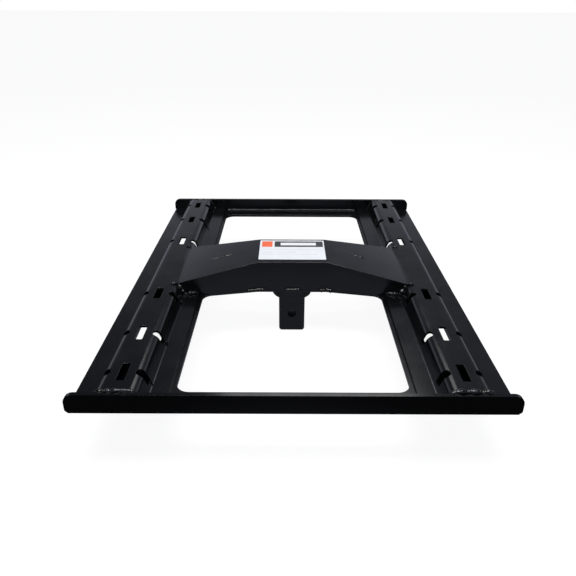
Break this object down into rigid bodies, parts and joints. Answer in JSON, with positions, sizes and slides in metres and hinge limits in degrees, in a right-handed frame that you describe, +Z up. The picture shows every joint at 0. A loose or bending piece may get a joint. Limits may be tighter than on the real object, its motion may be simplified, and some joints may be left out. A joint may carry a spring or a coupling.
{
  "type": "fifth wheel hitch rail adapter frame",
  "caption": "Flat black steel frame with slotted hat rails, end bars, a raised centre bridge and a square gooseneck shank drawn up by a bolt.",
  "frame": {"origin": "centre of the frame on the truck bed, level with the underside of the base plate and on the shank's axis", "axes": "+X forward along the truck, across the two rails; +Y left, along the rails; +Z up"},
  "size_m": [0.719, 0.984, 0.1963],
  "materials": {
    "coating": "gloss black powder coat",
    "bar_coating": "deep gloss black powder coat",
    "zinc": "zinc plated",
    "vinyl": "satin printed vinyl"
  },
  "bodies": {
    "frame": {"base_plate": "coating", "front_rail": "coating", "rear_rail": "coating", "left_end_bar": "bar_coating", "right_end_bar": "bar_coating", "bridge_top_plate": "coating", "bridge_web_left": "coating", "bridge_web_right": "coating", "bridge_rib_front": "coating", "bridge_rib_rear": "coating", "draw_plate": "coating", "shank_collar": "bar_coating", "flat_washer": "zinc", "spring_washer": "zinc", "rating_label": "vinyl"},
    "draw_bolt": {"draw_bolt": "zinc"},
    "shank": {"square_shank": "bar_coating"}
  },
  "joints": [
    {"name": "draw_bolt_turn", "type": "hinge", "parent": "frame", "child": "draw_bolt", "pos_m": [0, 0, 0.05], "axis": [0, 0, -1], "range_deg": [0, 1800]},
    {"name": "shank_draw", "type": "slide", "parent": "frame", "child": "shank", "axis": [0, 0, 1], "range_m": [0, 0.0127]}
  ],
  "couplings": [
    {"joint": "draw_bolt_turn", "follows": "shank_draw", "rad_per_m": 2473}
  ]
}
